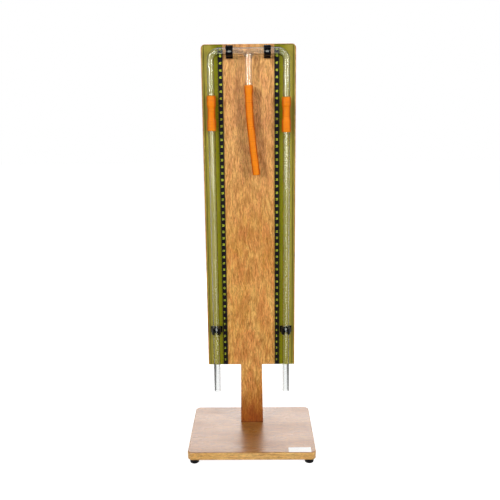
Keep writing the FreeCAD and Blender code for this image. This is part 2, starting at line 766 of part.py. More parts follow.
def make_clip(label, seat, across, height, rotation, standoff):
    """Moulded spring clip: a foot on the board and an open ring that grips the glass.

    Its frame has the foot's back at y = 0 and the glass along z, at the standoff in front of it.
    """
    body = new_body(label)
    ring_diameter = "(glass_diameter + 2 * clip_grip_clearance + 2 * clip_wall)"
    foot = new_sketch(body, "foot_section", "XY_Plane")
    foot_height = f"(clip_foot_thickness + {standoff} - (glass_standoff - scale_thickness))"
    add_box_outline(foot, "-clip_foot_width / 2", "clip_foot_width / 2", f"-{foot_height}", "0")
    pad(body, "foot", foot, "clip_length", both_ways=True)

    def is_foot_shoulder(edge):
        return runs_along(edge, Z_AXIS) and flat_at(edge, "y", value(f"-{foot_height}"))

    round_edges(body, "foot_shoulders", "clip_foot_rounding", is_foot_shoulder)
    ring = new_sketch(body, "ring_section", "XY_Plane")
    add_circle(ring, "0", f"-{standoff}", ring_diameter)
    pad(body, "ring", ring, "clip_length", both_ways=True)

    def is_web(edge):
        on_foot = flat_at(edge, "y", value(f"-{foot_height}"))
        return runs_along(edge, Z_AXIS) and on_foot and abs(edge.BoundBox.Center.x) < value("glass_diameter / 2")

    round_edges(body, "web", "clip_web_radius", is_web)
    grip = new_sketch(body, "grip_section", "XY_Plane")
    add_circle(grip, "0", f"-{standoff}", "glass_diameter + 2 * clip_grip_clearance")
    pocket(body, "grip", grip, "clip_length", both_ways=True)
    mouth = new_sketch(body, "mouth_section", "XY_Plane")
    front = f"-{standoff} - {ring_diameter}"
    add_box_outline(mouth, "-clip_mouth / 2", "clip_mouth / 2", front, f"-{standoff}")
    pocket(body, "mouth", mouth, "clip_length", both_ways=True)

    def is_lip(edge):
        at_mouth = near(abs(edge.BoundBox.Center.x), value("clip_mouth / 2"))
        return runs_along(edge, Z_AXIS) and at_mouth and edge.BoundBox.Center.y < value(f"-{standoff}")

    round_edges(body, "lips", "clip_lip_rounding", is_lip)
    screw_seat = new_sketch(body, "screw_seat_section", "XY_Plane")
    shank = "(clip_screw_shank + screw_clearance) / 2"
    head = "(clip_screw_head + screw_clearance) / 2"
    head_level = f"({standoff} - glass_diameter / 2 - clip_screw_sink)"
    add_outline(screw_seat, [
        ("0", "0"),
        (shank, "0"),
        (shank, f"-{head_level} + clip_screw_head_height"),
        (head, f"-{head_level}"),
        (head, f"-{standoff}"),
        ("0", f"-{standoff}"),
    ])
    groove(body, "screw_seat", screw_seat)
    place(body, across, seat, height, rotation)


def make_clips():
    """Two clips for the bridge, on the bare board, and two for the lower tubes, on the scales."""
    along_bridge = FreeCAD.Rotation(Y_AXIS, 90)
    upright = FreeCAD.Rotation()
    for name, side in (("left", "-"), ("right", "")):
        make_clip(f"upper_{name}_clip", BOARD_FRONT, f"{side}upper_clip_spacing / 2", BRIDGE_HEIGHT,
                  along_bridge, "glass_standoff")
        make_clip(f"lower_{name}_clip", SCALE_FRONT, f"{side}tube_spacing / 2", LOWER_CLIP_HEIGHT,
                  upright, "(glass_standoff - scale_thickness)")


def check_document():
    """Stop if any object failed or any node's shape is missing or faulty."""
    for item in doc.Objects:
        if "Invalid" in item.State or "Error" in item.State:
            raise RuntimeError(f"{item.Label}: {item.State}")
    for node in nodes:
        if node.Shape.isNull() or not node.Shape.isValid():
            raise RuntimeError(f"{node.Label}: faulty shape")


make_base_board()
make_feet()
make_backboard()
make_scales()
make_number_bands()
make_glass_tee()
make_lower_tubes()
make_sleeves()
make_suction_hose()
make_clips()
make_screws()
doc.recompute()
check_document()

os.makedirs("parts", exist_ok=True)
for node in nodes:
    node.Shape.exportStep(f"parts/{node.Label}.step")
    print(node.Label, "solids", len(node.Shape.Solids), "volume", round(node.Shape.Volume, 1))
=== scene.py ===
import logging
import math
from dataclasses import dataclass
from enum import Enum

import bpy
from mathutils import Matrix, Vector


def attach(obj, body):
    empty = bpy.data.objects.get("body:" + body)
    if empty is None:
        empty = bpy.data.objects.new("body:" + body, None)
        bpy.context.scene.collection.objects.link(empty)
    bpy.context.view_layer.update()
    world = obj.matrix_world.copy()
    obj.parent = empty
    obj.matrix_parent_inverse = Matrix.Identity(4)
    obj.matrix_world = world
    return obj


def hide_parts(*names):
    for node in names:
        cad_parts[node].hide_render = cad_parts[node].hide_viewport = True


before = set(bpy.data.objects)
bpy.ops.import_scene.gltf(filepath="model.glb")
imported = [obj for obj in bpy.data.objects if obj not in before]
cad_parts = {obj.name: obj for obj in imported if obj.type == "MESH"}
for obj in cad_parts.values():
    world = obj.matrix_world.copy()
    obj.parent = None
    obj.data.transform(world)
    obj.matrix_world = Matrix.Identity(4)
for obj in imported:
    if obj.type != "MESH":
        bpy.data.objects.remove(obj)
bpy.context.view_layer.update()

Colour = tuple[float, float, float]
Triple = tuple[float, float, float]
Span = tuple[float, float]
Face = tuple[int, ...]
NumberShape = tuple[list[Span], list[Face]]
Place = tuple[object, object, object]
Socket = bpy.types.NodeSocket
Material = bpy.types.Material
Piece = bpy.types.Object

MM = 0.001
WHITE = (1.0, 1.0, 1.0)
UP = Vector((0.0, 0.0, 1.0))
BACKWARDS = Vector((0.0, 1.0, 0.0))
MOST_NOISE = (0.3, 0.7)
BODY = "root"

log = logging.getLogger("apparatus")


def rgb(red: int, green: int, blue: int) -> Colour:
    """Turn a colour as a screen shows it into linear light.

    Args:
        red: Red from 0 to 255.
        green: Green from 0 to 255.
        blue: Blue from 0 to 255.

    Returns:
        The three linear values.
    """
    def linear(level: int) -> float:
        """Return one channel in linear light."""
        share = level / 255
        return share / 12.92 if share <= 0.04045 else ((share + 0.055) / 1.055) ** 2.4

    return linear(red), linear(green), linear(blue)


def millimetres(*places: float) -> Vector:
    """Return a point that is given in millimetres, in metres."""
    return Vector(places) * MM


class Grain(Enum):
    """The way that the fibres of a board run."""

    ALONG_X = "along x"
    ALONG_Z = "along z"


class Side(Enum):
    """The left and the right of the apparatus, as seen from the front."""

    LEFT = -1
    RIGHT = 1

    @property
    def word(self) -> str:
        """The side's name in the names of pieces."""
        return self.name.lower()


@dataclass(frozen=True)
class Pattern:
    """Soft noise: features to the millimetre each way, finer layers, their strength, and twist."""

    scale: Triple
    detail: float = 2.0
    roughness: float = 0.5
    twist: float = 0.0


class Graph:
    """Writes the shader nodes of one material or of the surroundings."""

    def __init__(self, owner: Material | bpy.types.World, output: str = "OutputMaterial") -> None:
        """Start an empty node tree.

        Args:
            owner: The material or world.
            output: The type of its output node.
        """
        owner.use_nodes = True
        self.owner = owner
        self.tree = owner.node_tree
        self.tree.nodes.clear()
        self.output = self.node(output)

    def feed(self, socket: Socket, value: object) -> None:
        """Link another node's output to an input, or set its own value.

        Args:
            socket: The input.
            value: An output socket, a number, a vector or a colour.
        """
        if isinstance(value, Socket):
            self.tree.links.new(value, socket)
        elif socket.type == "RGBA" and len(value) == 3:
            socket.default_value = (*value, 1.0)
        else:
            socket.default_value = value

    def node(self, kind: str, inputs: dict[str | int, object] | None = None,
             **settings: object) -> bpy.types.Node:
        """Add a node.

        Args:
            kind: Blender's name of the node's type, without its prefix.
            inputs: What goes into its inputs, by their name or place.
            settings: The node's own settings.

        Returns:
            The new node.
        """
        node = self.tree.nodes.new("ShaderNode" + kind)
        for name, setting in settings.items():
            setattr(node, name, setting)
        for name, value in (inputs or {}).items():
            self.feed(node.inputs[name], value)
        return node

    def maths(self, operation: str, first: object, second: object = 0.0) -> Socket:
        """Return the result of a Math node's operation on one or two values."""
        return self.node("Math", {0: first, 1: second}, operation=operation).outputs[0]

    def swayed(self, value: object, noise: Socket, reach: float) -> Socket:
        """Return a value that noise from 0 to 1 moves to and fro, over this reach in all."""
        middle = self.maths("SUBTRACT", noise, 0.5)
        return self.maths("ADD", value, self.maths("MULTIPLY", middle, reach))

    def spread(self, value: object, span: Span, results: Span = (0.0, 1.0)) -> Socket:
        """Map a span of a value smoothly to a span of results. Beyond it the result stays at its end."""
        ends = {0: value, 1: span[0], 2: span[1], 3: results[0], 4: results[1]}
        return self.node("MapRange", ends, interpolation_type="SMOOTHSTEP").outputs[0]

    def place(self) -> Place:
        """Read the object's own coordinates.

        Returns:
            The three coordinates, in millimetres.
        """
        where = self.node("TexCoord").outputs["Object"]
        scaled = self.node("VectorMath", {0: where, 1: (1 / MM,) * 3}, operation="MULTIPLY").outputs[0]
        parts = self.node("SeparateXYZ", {0: scaled})
        return parts.outputs[0], parts.outputs[1], parts.outputs[2]

    def noise(self, parts: Place, pattern: Pattern) -> Socket:
        """Return soft noise.

        Args:
            parts: The parts of the place that it is read at, in millimetres.
            pattern: Its scale and layers.

        Returns:
            The noise's socket, from 0 to 1.
        """
        joined = self.node("CombineXYZ", {0: parts[0], 1: parts[1], 2: parts[2]}).outputs[0]
        where = self.node("VectorMath", {0: joined, 1: pattern.scale}, operation="MULTIPLY").outputs[0]
        return self.node("TexNoise", {
            "Vector": where, "Scale": 1.0, "Detail": pattern.detail, "Roughness": pattern.roughness,
            "Distortion": pattern.twist}).outputs[0]

    def blend(self, share: object, first: object, second: object, how: str = "MIX") -> Socket:
        """Blend a share of the second colour into the first, in the way that Blender's name says."""
        return self.node("Mix", {0: share, 6: first, 7: second}, data_type="RGBA", blend_type=how).outputs[2]

    def layer(self, tone: object, value: object, span: Span, strength: float, over: Colour) -> Socket:
        """Lay a colour over a tone, from none where the value's span starts to this strength at its end."""
        return self.blend(self.spread(value, span, (0.0, strength)), tone, over)

    def relief(self, height: object, strength: float, depth: float) -> Socket:
        """Return the normal of relief, its height from 0 to 1 standing for this depth in millimetres."""
        return self.node("Bump", {"Strength": strength, "Distance": depth * MM, "Height": height}).outputs[0]

    def principled(self, inputs: dict[str, object]) -> Socket:
        """Return the main shader, with these inputs."""
        return self.node("BsdfPrincipled", inputs).outputs[0]

    def glow(self, kind: str, strength: object, colour: Colour = WHITE) -> Socket:
        """Return a shader that shines, "Emission" for a surface or "Background" for the surroundings."""
        return self.node(kind, {"Color": colour, "Strength": strength}).outputs[0]

    def switch(self, ray: Socket, other: Socket, shader: Socket) -> Socket:
        """Return one shader for a kind of ray, and the other one for the rest."""
        return self.node("MixShader", {0: ray, 1: other, 2: shader}).outputs[0]

    def finish(self, shader: Socket) -> Material | bpy.types.World:
        """Link the shader to the surface and return the material or world."""
        self.feed(self.output.inputs["Surface"], shader)
        return self.owner


@dataclass(frozen=True)
class VarnishedWood:
    """Open-pored hardwood under clear gloss varnish, its growth rings cut at a slant, with painted sheen,
    painted shade and a painted contact shadow.
    """

    name: str
    grain: Grain
    pale: Colour
    middle: Colour
    flush: Colour
    deep: Colour
    pore: Colour
    # Painted shade: the board darker towards its foot, the base darker over its top face.
    stain: Colour
    stained: Span
    # Painted contact shadow: a dark line along the board's foot, off for the base.
    grimy: Span
    heart: Span
    heart_slope: float
    ring_width: float
    waves: float
    figure: float
    varnish: float
    varnish_roughness: float
    # Painted sheen: the board paler towards its top.
    faded: Colour = rgb(236, 184, 128)
    faded_span: Span = (300.0, 520.0)
    # Strength of the painted shade, then of the painted contact shadow.
    pore_span: Span = (0.55, 0.66)
    stain_strength: float = 0.9
    grime_strength: float = 0.8
    drift_reach: float = 20.0
    ring_wobble: float = 3.0
    fibre_height: float = 0.5
    pore_depth: float = 0.8
    bare_roughness: Span = (0.42, 0.55)
    varnish_dulling: float = 1.7
    varnish_index: float = 1.5
    drift: Pattern = Pattern((0.020, 0.020, 0.006), 3.0)
    ripple: Pattern = Pattern((0.055, 0.055, 0.035))
    wobble: Pattern = Pattern((0.09, 0.09, 0.02), 3.0, 0.6)
    cloud: Pattern = Pattern((0.035, 0.035, 0.010), 3.0, 0.55)
    hue: Pattern = Pattern((0.25, 0.25, 0.040))
    patch: Pattern = Pattern((0.085, 0.085, 0.030))
    fibre: Pattern = Pattern((0.80, 0.80, 0.075), 4.0, 0.60)
    fine: Pattern = Pattern((1.8, 1.8, 0.18), 3.0, 0.58)
    dashes: Pattern = Pattern((1.3, 1.3, 0.18), 2.0, 0.55)

    def rings(self, graph: Graph, parts: Place, bent: Socket) -> Socket:
        """Return the growth rings as waves round the heart of the tree.

        Args:
            graph: The material's graph.
            parts: The place across, through and along the board.
            bent: The place across, moved by the drift of the grain.

        Returns:
            The waves' socket, from -1 to 1.
        """
        _, through, along = parts
        aside = graph.maths("SUBTRACT", bent, self.heart[0])
        slant = graph.maths("MULTIPLY", along, self.heart_slope)
        depth = graph.maths("ADD", graph.maths("SUBTRACT", through, self.heart[1]), slant)
        squares = graph.maths("ADD", graph.maths("POWER", aside, 2.0), graph.maths("POWER", depth, 2.0))
        radius = graph.maths("DIVIDE", graph.maths("SQRT", squares), self.ring_width)
        wobble = graph.maths("MULTIPLY", graph.noise(parts, self.wobble), self.ring_wobble)
        return graph.maths("SINE", graph.maths("MULTIPLY", graph.maths("ADD", radius, wobble), 2 * math.pi))

    def make(self) -> Material:
        """Make the material.

        Returns:
            The material.
        """
        graph = Graph(bpy.data.materials.new(self.name))
        x, y, z = graph.place()
        parts = (x, y, z) if self.grain is Grain.ALONG_Z else (y, z, x)
        bent = graph.swayed(parts[0], graph.noise(parts, self.drift), self.drift_reach)
        bent = graph.swayed(bent, graph.noise(parts, self.ripple), self.waves)
        bent_parts = (bent, *parts[1:])
        cloud = graph.noise(bent_parts, self.cloud)
        fibre = graph.noise(bent_parts, self.fibre)
        fine = graph.noise(bent_parts, self.fine)
        dashes = graph.noise(bent_parts, self.dashes)
        layers = (
            (cloud, (0.35, 0.66), 1.0, self.middle),
            (graph.noise(bent_parts, self.hue), (0.42, 0.62), 0.5, self.flush),
            (graph.noise(bent_parts, self.patch), (0.46, 0.66), 0.6, self.flush),
            # painted sheen, paler towards the top of the board
            (z, self.faded_span, 0.45, self.faded),
            (fibre, (0.48, 0.66), 0.70, self.deep),
            (fibre, (0.48, 0.34), 0.80, self.pale),
            (self.rings(graph, parts, bent), (0.1, 1.0), 0.32, self.deep),
            (fine, (0.48, 0.66), 0.60, self.deep),
            (dashes, self.pore_span, 0.48, self.pore))
        tone = self.pale
        for value, span, strength, over in layers:
            tone = graph.layer(tone, value, span, strength * self.figure, over)
        # Painted shade, multiplied in towards the board's foot and over the base's top face.
        stain = graph.spread(z, self.stained, (0.0, self.stain_strength))
        tone = graph.blend(stain, tone, self.stain, "MULTIPLY")
        # Painted contact shadow, in the pore colour, along the board's foot.
        tone = graph.layer(tone, z, self.grimy, self.grime_strength, self.pore)
        raised = graph.maths("MULTIPLY", fine, self.fibre_height)
        sunk = graph.maths("MULTIPLY", graph.spread(dashes, self.pore_span), self.pore_depth)
        dulled = self.varnish_roughness * self.varnish_dulling
        return graph.finish(graph.principled({
            "Base Color": tone,
            "Roughness": graph.spread(fine, MOST_NOISE, self.bare_roughness),
            "Specular IOR Level": 0.1,
            "Coat Weight": self.varnish,
            "Coat Roughness": graph.spread(cloud, MOST_NOISE, (self.varnish_roughness, dulled)),
            "Coat IOR": self.varnish_index,
            "Normal": graph.relief(graph.maths("SUBTRACT", raised, sunk), strength=0.30, depth=0.06),
        }))


@dataclass(frozen=True)
class ScaleSheet:
    """Olive sheet, deeper beside the numbers as painted shade of the tubes, with a thin printed line round
    its edge.
    """

    name: str
    olive: Colour
    lime: Colour
    line: Colour
    # Where the painted shade beside the numbers gives way to the paler lime.
    paler_aside: Span
    outer_edge: float
    top_edge: float
    line_start: Span = (1.7, 1.9)
    line_end: Span = (3.0, 2.8)
    top_line: Span = (0.9, 0.6)
    line_strength: float = 0.8
    cloudiness: float = 0.9
    roughness: Span = (0.32, 0.42)
    cloud: Pattern = Pattern((0.05, 0.05, 0.012), 3.0)
    streak: Pattern = Pattern((0.9, 0.9, 0.01), 3.0, 0.6)

    def make(self) -> Material:
        """Make the material.

        Returns:
            The material.
        """
        graph = Graph(bpy.data.materials.new(self.name))
        x, y, z = graph.place()
        aside = graph.maths("ABSOLUTE", x)
        cloud = graph.noise((x, y, z), self.cloud)
        streak = graph.noise((x, y, z), self.streak)
        # Painted shade of the tubes: deeper olive beside the numbers, paler further aside.
        share = graph.swayed(graph.spread(aside, self.paler_aside), cloud, self.cloudiness)
        tone = graph.blend(share, self.olive, self.lime)
        tone = graph.layer(tone, streak, (0.4, 0.7), 0.25, self.olive)
        inside = graph.maths("SUBTRACT", self.outer_edge, aside)
        side_line = graph.maths(
            "MULTIPLY", graph.spread(inside, self.line_start), graph.spread(inside, self.line_end))
        top_line = graph.spread(z, tuple(self.top_edge - inset for inset in self.top_line))
        printed = graph.maths("MAXIMUM", side_line, top_line)
        return graph.finish(graph.principled({
            "Base Color": graph.blend(graph.maths("MULTIPLY", printed, self.line_strength), tone, self.line),
            "Roughness": graph.spread(streak, MOST_NOISE, self.roughness),
            "Specular IOR Level": 0.15,
            "Normal": graph.relief(cloud, strength=0.15, depth=0.15),
        }))


@dataclass(frozen=True)
class PrintInk:
    """A printed colour, a little uneven where the sheet took less of it."""

    name: str
    colour: Colour
    worn: Colour
    roughness: float
    dulling: float = 0.12
    patchiness: Pattern = Pattern((0.9, 0.9, 0.9), 4.0, 0.6)

    def make(self) -> Material:
        """Make the material.

        Returns:
            The material.
        """
        graph = Graph(bpy.data.materials.new(self.name))
        patchy = graph.noise(graph.place(), self.patchiness)
        return graph.finish(graph.principled({
            "Base Color": graph.layer(self.colour, patchy, (0.48, 0.75), 0.5, self.worn),
            "Roughness": graph.spread(patchy, MOST_NOISE, (self.roughness, self.roughness + self.dulling)),
            "Specular IOR Level": 0.15,
            "Normal": graph.relief(patchy, strength=0.1, depth=0.02),
        }))


@dataclass(frozen=True)
class ClearGlass:
    """Drawn laboratory glass. Its shadow is light, as clear glass lets most of the light through."""

    name: str
    tint: Colour
    shadow: Colour
    index: float
    smeared: Span = (0.5, 0.8)
    roughness: Span = (0.09, 0.12)
    draw_lines: Pattern = Pattern((0.35, 0.35, 0.003))
    smear: Pattern = Pattern((0.12, 0.12, 0.05), 4.0, 0.6)

    def make(self) -> Material:
        """Make the material.

        Returns:
            The material.
        """
        graph = Graph(bpy.data.materials.new(self.name))
        parts = graph.place()
        glass = graph.principled({
            "Base Color": self.tint,
            "Roughness": graph.spread(graph.noise(parts, self.smear), self.smeared, self.roughness),
            "IOR": self.index,
            "Transmission Weight": 1.0,
            "Normal": graph.relief(graph.noise(parts, self.draw_lines), strength=0.02, depth=0.02),
        })
        clear = graph.node("BsdfTransparent", {"Color": self.shadow}).outputs[0]
        return graph.finish(graph.switch(graph.node("LightPath").outputs["Is Shadow Ray"], glass, clear))


@dataclass(frozen=True)
class OrangeRubber:
    """Soft extruded rubber, its colour deepened towards its sides as painted shade, with a dry bloom and
    faint rings.
    """

    name: str
    orange: Colour
    bloom: Colour
    # Painted shade for the sides, also the tone of the faint rings.
    shade: Colour
    front_to_side: Span = (-0.90, -0.42)
    roughness: Span = (0.42, 0.60)
    bloom_patches: Pattern = Pattern((0.22, 0.22, 0.10), 4.0, 0.6, 0.4)
    specks: Pattern = Pattern((2.2, 2.2, 2.2), 3.0, 0.6)
    faint_rings: Pattern = Pattern((0.02, 0.02, 0.55))

    def make(self) -> Material:
        """Make the material.

        Returns:
            The material.
        """
        graph = Graph(bpy.data.materials.new(self.name))
        parts = graph.place()
        bloom = graph.noise(parts, self.bloom_patches)
        speck = graph.noise(parts, self.specks)
        rings = graph.noise(parts, self.faint_rings)
        # Painted shade: deeper orange-brown where the surface turns away from the front.
        facing = graph.node("SeparateXYZ", {0: graph.node("TexCoord").outputs["Normal"]}).outputs[1]
        tone = graph.layer(self.orange, facing, self.front_to_side, 0.9, self.shade)
        tone = graph.layer(tone, bloom, (0.45, 0.75), 0.5, self.bloom)
        tone = graph.layer(tone, rings, (0.50, 0.75), 0.4, self.shade)
        tone = graph.layer(tone, speck, (0.6, 0.8), 0.2, self.bloom)
        height = graph.maths("ADD", graph.maths("MULTIPLY", rings, 0.7), graph.maths("MULTIPLY", speck, 0.2))
        return graph.finish(graph.principled({
            "Base Color": tone,
            "Roughness": graph.spread(bloom, MOST_NOISE, self.roughness),
            "Specular IOR Level": 0.15,
            "Normal": graph.relief(height, strength=0.30, depth=0.12),
        }))


@dataclass(frozen=True)
class Moulded:
    """Moulded plastic or rubber with a fine skin."""

    name: str
    colour: Colour
    scuff: Colour
    roughness: float
    shine: float
    coat: float
    skin: float
    dulling: float = 0.15
    coat_roughness: float = 0.15
    skin_grain: Pattern = Pattern((3.0, 3.0, 3.0), 3.0, 0.55)
    scuffs: Pattern = Pattern((0.35, 0.35, 0.35), 5.0, 0.65, 0.5)

    def make(self) -> Material:
        """Make the material.

        Returns:
            The material.
        """
        graph = Graph(bpy.data.materials.new(self.name))
        parts = graph.place()
        scuff = graph.noise(parts, self.scuffs)
        return graph.finish(graph.principled({
            "Base Color": graph.layer(self.colour, scuff, (0.55, 0.75), 0.5, self.scuff),
            "Roughness": graph.spread(scuff, (0.35, 0.7), (self.roughness, self.roughness + self.dulling)),
            "Specular IOR Level": self.shine,
            "Coat Weight": self.coat,
            "Coat Roughness": self.coat_roughness,
            "Normal": graph.relief(graph.noise(parts, self.skin_grain), strength=0.3, depth=self.skin),
        }))


@dataclass(frozen=True)
class ZincSteel:
    """Zinc-plated screw steel."""

    name: str
    colour: Colour
    dull: Colour
    roughness: Span = (0.25, 0.45)
    spangle: Pattern = Pattern((0.8, 0.8, 0.8), 4.0, 0.6, 0.8)
    lathe_marks: Pattern = Pattern((0.1, 0.1, 5.0))

    def make(self) -> Material:
        """Make the material.

        Returns:
            The material.
        """
        graph = Graph(bpy.data.materials.new(self.name))
        parts = graph.place()
        spangle = graph.noise(parts, self.spangle)
        return graph.finish(graph.principled({
            "Base Color": graph.layer(self.colour, spangle, (0.4, 0.7), 1.0, self.dull),
            "Metallic": 1.0,
            "Roughness": graph.spread(spangle, MOST_NOISE, self.roughness),
            "Normal": graph.relief(graph.noise(parts, self.lathe_marks), strength=0.2, depth=0.03),
        }))


@dataclass(frozen=True)
class LabelPaper:
    """Smooth white label paper."""

    name: str
    white: Colour
    fibre: Colour
    roughness: Span = (0.35, 0.5)
    coat: float = 0.3
    fibres: Pattern = Pattern((2.5, 2.5, 2.5), 5.0, 0.7, 1.0)

    def make(self) -> Material:
        """Make the material.

        Returns:
            The material.
        """
        graph = Graph(bpy.data.materials.new(self.name))
        fibres = graph.noise(graph.place(), self.fibres)
        return graph.finish(graph.principled({
            "Base Color": graph.layer(self.white, fibres, (0.4, 0.8), 1.0, self.fibre),
            "Roughness": graph.spread(fibres, MOST_NOISE, self.roughness),
            "Coat Weight": self.coat,
            "Coat Roughness": 0.3,
            "Normal": graph.relief(fibres, strength=0.2, depth=0.02),
        }))


@dataclass(frozen=True)
class Table:
    """The pale table: white to the eye but for the shadow, dark in front in gloss and aside in glass."""

    name: str
    paint: Colour
    lift: float
    lifted: Span
    white_reach: Span
    white_again: Span
    beyond: float
    aside: float
    ahead: float
    ahead_span: Span = (-60.0, -260.0)
    fleck: Colour = (0.7, 0.7, 0.7)
    fleck_strength: float = 0.04
    shadow_paint: Colour = (0.45, 0.45, 0.45)
    flecks: Pattern = Pattern((0.05, 0.05, 0.05), 3.0)

    def make(self) -> Material:
        """Make the material.

        Returns:
            The material.
        """
        graph = Graph(bpy.data.materials.new(self.name))
        path = graph.node("LightPath").outputs
        x, y, _ = graph.place()
        flat = graph.node("CombineXYZ", {0: x, 1: y}).outputs[0]
        away = graph.node("VectorMath", {0: flat}, operation="LENGTH").outputs["Value"]
        fleck = graph.maths("MULTIPLY", graph.noise((x, y, 0.0), self.flecks), self.fleck_strength)
        plain = graph.node("BsdfDiffuse", {"Color": graph.blend(fleck, self.paint, self.fleck)}).outputs[0]
        shaded = graph.node("BsdfDiffuse", {"Color": self.shadow_paint}).outputs[0]
        lift = graph.glow("Emission", graph.spread(away, self.lifted, (self.lift, 1.0)))
        seen = graph.node("AddShader", {0: shaded, 1: lift}).outputs[0]
        aside = graph.maths("ABSOLUTE", x)
        near = graph.spread(aside, self.white_reach, (1.0, self.aside))
        far = graph.spread(aside, self.white_again, (0.0, self.beyond))
        bent = graph.glow("Emission", graph.maths("MAXIMUM", near, far))
        mirrored = graph.glow("Emission", graph.spread(y, self.ahead_span, (1.0, self.ahead)))
        joined = graph.switch(path["Is Camera Ray"], plain, seen)
        joined = graph.switch(path["Is Glossy Ray"], joined, mirrored)
        return graph.finish(graph.switch(path["Is Transmission Ray"], joined, bent))


@dataclass(frozen=True)
class WhiteRoom:
    """The surroundings: white to the eye, and dimmer aside, above and in front in glass and gloss."""

    name: str
    fill: Colour
    strength: float
    beside: float
    aside: float
    ahead: float
    above: float
    ceiling: float
    beside_span: Span = (0.30, 0.62)
    aside_span: Span = (0.70, 0.95)
    ahead_span: Span = (0.1, -0.3)
    above_span: Span = (0.25, 0.60)

    def make(self) -> bpy.types.World:
        """Make the surroundings.

        Returns:
            The world.
        """
        graph = Graph(bpy.data.worlds.new(self.name), "OutputWorld")
        path = graph.node("LightPath").outputs
        parts = graph.node("SeparateXYZ", {0: graph.node("TexCoord").outputs["Generated"]}).outputs
        aside = graph.maths("ABSOLUTE", parts[0])
        sideways = graph.spread(aside, self.beside_span, (1.0, self.beside))
        overhead = graph.spread(parts[2], self.above_span, (1.0, self.ceiling))
        wide = graph.spread(aside, self.aside_span, (1.0, self.aside))
        forwards = graph.spread(parts[1], self.ahead_span, (1.0, self.ahead))
        upwards = graph.spread(parts[2], self.above_span, (1.0, self.above))
        bent = graph.glow("Background", graph.maths("MULTIPLY", sideways, overhead))
        shine = graph.maths("MULTIPLY", graph.maths("MULTIPLY", wide, forwards), upwards)
        fill = graph.glow("Background", self.strength, self.fill)
        joined = graph.switch(path["Is Glossy Ray"], fill, graph.glow("Background", shine))
        joined = graph.switch(path["Is Transmission Ray"], joined, bent)
        return graph.finish(graph.switch(path["Is Camera Ray"], joined, graph.glow("Background", 1.0)))


# Painted shade darkens the board towards its foot, and a painted contact shadow lines its foot.
BOARD_WOOD = VarnishedWood(
    "board_wood_varnished", Grain.ALONG_Z, pale=rgb(246, 194, 108), middle=rgb(220, 156, 68),
    flush=rgb(230, 144, 78), deep=rgb(158, 92, 30), pore=rgb(102, 54, 14), stain=rgb(176, 128, 60),
    stained=(112.0, 24.0), grimy=(23.5, 20.5), heart=(-6.0, -52.0), heart_slope=0.10, ring_width=4.6,
    waves=9.0, figure=1.0, varnish=0.5, varnish_roughness=0.28)
# Painted shade darkens the base's top face.
BASE_WOOD = VarnishedWood(
    "base_wood_varnished", Grain.ALONG_X, pale=rgb(255, 208, 126), middle=rgb(236, 182, 96),
    flush=rgb(230, 166, 92), deep=rgb(146, 94, 36), pore=rgb(92, 52, 16), stain=rgb(170, 140, 108),
    stained=(19.1, 19.95), grimy=(-10.0, -20.0), heart=(0.0, -60.0), heart_slope=0.05, ring_width=5.0,
    waves=5.0, figure=0.8, varnish=1.0, varnish_roughness=0.22)
# The olive sheet carries painted shade of the tubes beside its numbers.
SCALE_SHEET = ScaleSheet(
    "scale_sheet_olive", rgb(124, 121, 2), rgb(160, 147, 60), rgb(60, 46, 20), paler_aside=(48.0, 60.0),
    outer_edge=67.7, top_edge=617.7)
NUMBER_INK = PrintInk("number_ink_black", rgb(18, 10, 22), rgb(38, 28, 38), roughness=0.45)
NUMBER_FIELD = PrintInk("number_field_dark", rgb(62, 62, 10), rgb(84, 86, 20), roughness=0.45)
NUMERAL = PrintInk("numeral_lime", rgb(236, 250, 70), rgb(212, 226, 50), roughness=0.30)
GLASS = ClearGlass("tube_glass_clear", tint=(0.985, 0.995, 0.99), shadow=(0.56, 0.57, 0.56), index=1.47)
# The third colour is painted shade for the rubber's sides and the tone of its faint rings.
RUBBER = OrangeRubber("tubing_rubber_orange", rgb(244, 132, 0), rgb(248, 150, 10), rgb(178, 66, 0))
CLIP_PLASTIC = Moulded(
    "clip_plastic_black", rgb(4, 4, 7), rgb(16, 16, 18), roughness=0.26, shine=0.12, coat=0.04, skin=0.02)
FOOT_RUBBER = Moulded(
    "foot_rubber_black", rgb(5, 5, 7), rgb(16, 15, 14), roughness=0.45, shine=0.1, coat=0.03, skin=0.06)
SCREW_STEEL = ZincSteel("screw_zinc", (0.62, 0.62, 0.60), (0.42, 0.43, 0.44))
LABEL_PAPER = LabelPaper("label_paper_white", rgb(236, 236, 236), rgb(224, 224, 222))
TABLE = Table(
    "table_pale", paint=(0.40, 0.40, 0.40), lift=0.88, lifted=(180.0, 620.0), white_reach=(76.0, 125.0),
    white_again=(520.0, 700.0), beyond=0.4, aside=0.03, ahead=0.08)
ROOM = WhiteRoom(
    "white_room", fill=(1.0, 0.985, 0.965), strength=0.03, beside=0.08, aside=0.06, ahead=0.08, above=0.15,
    ceiling=0.40)


def add_object(name: str, data: bpy.types.ID) -> Piece:
    """Add an object to the scene.

    Args:
        name: Its name.
        data: The mesh, curve, light or camera that it shows.

    Returns:
        The new object.
    """
    added = bpy.data.objects.new(name, data)
    bpy.context.scene.collection.objects.link(added)
    return added


def add_mesh(name: str, points: list[Vector], faces: list[Face], smooth: bool = False) -> Piece:
    """Add a mesh object, its points given in metres in the shared frame.

    Args:
        name: The object's name.
        points: Its corners.
        faces: Its faces, as the places of their corners in the list.
        smooth: Whether it is shaded smooth.

    Returns:
        The new object.
    """
    mesh = bpy.data.meshes.new(name)
    mesh.from_pydata(points, [], faces)
    mesh.update()
    mesh.polygons.foreach_set("use_smooth", [smooth] * len(mesh.polygons))
    return add_object(name, mesh)


def shaped(carrier: Piece) -> bpy.types.Mesh:
    """Return the mesh that a curve or a text makes as it stands."""
    bpy.context.view_layer.update()
    return bpy.data.meshes.new_from_object(carrier.evaluated_get(bpy.context.evaluated_depsgraph_get()))


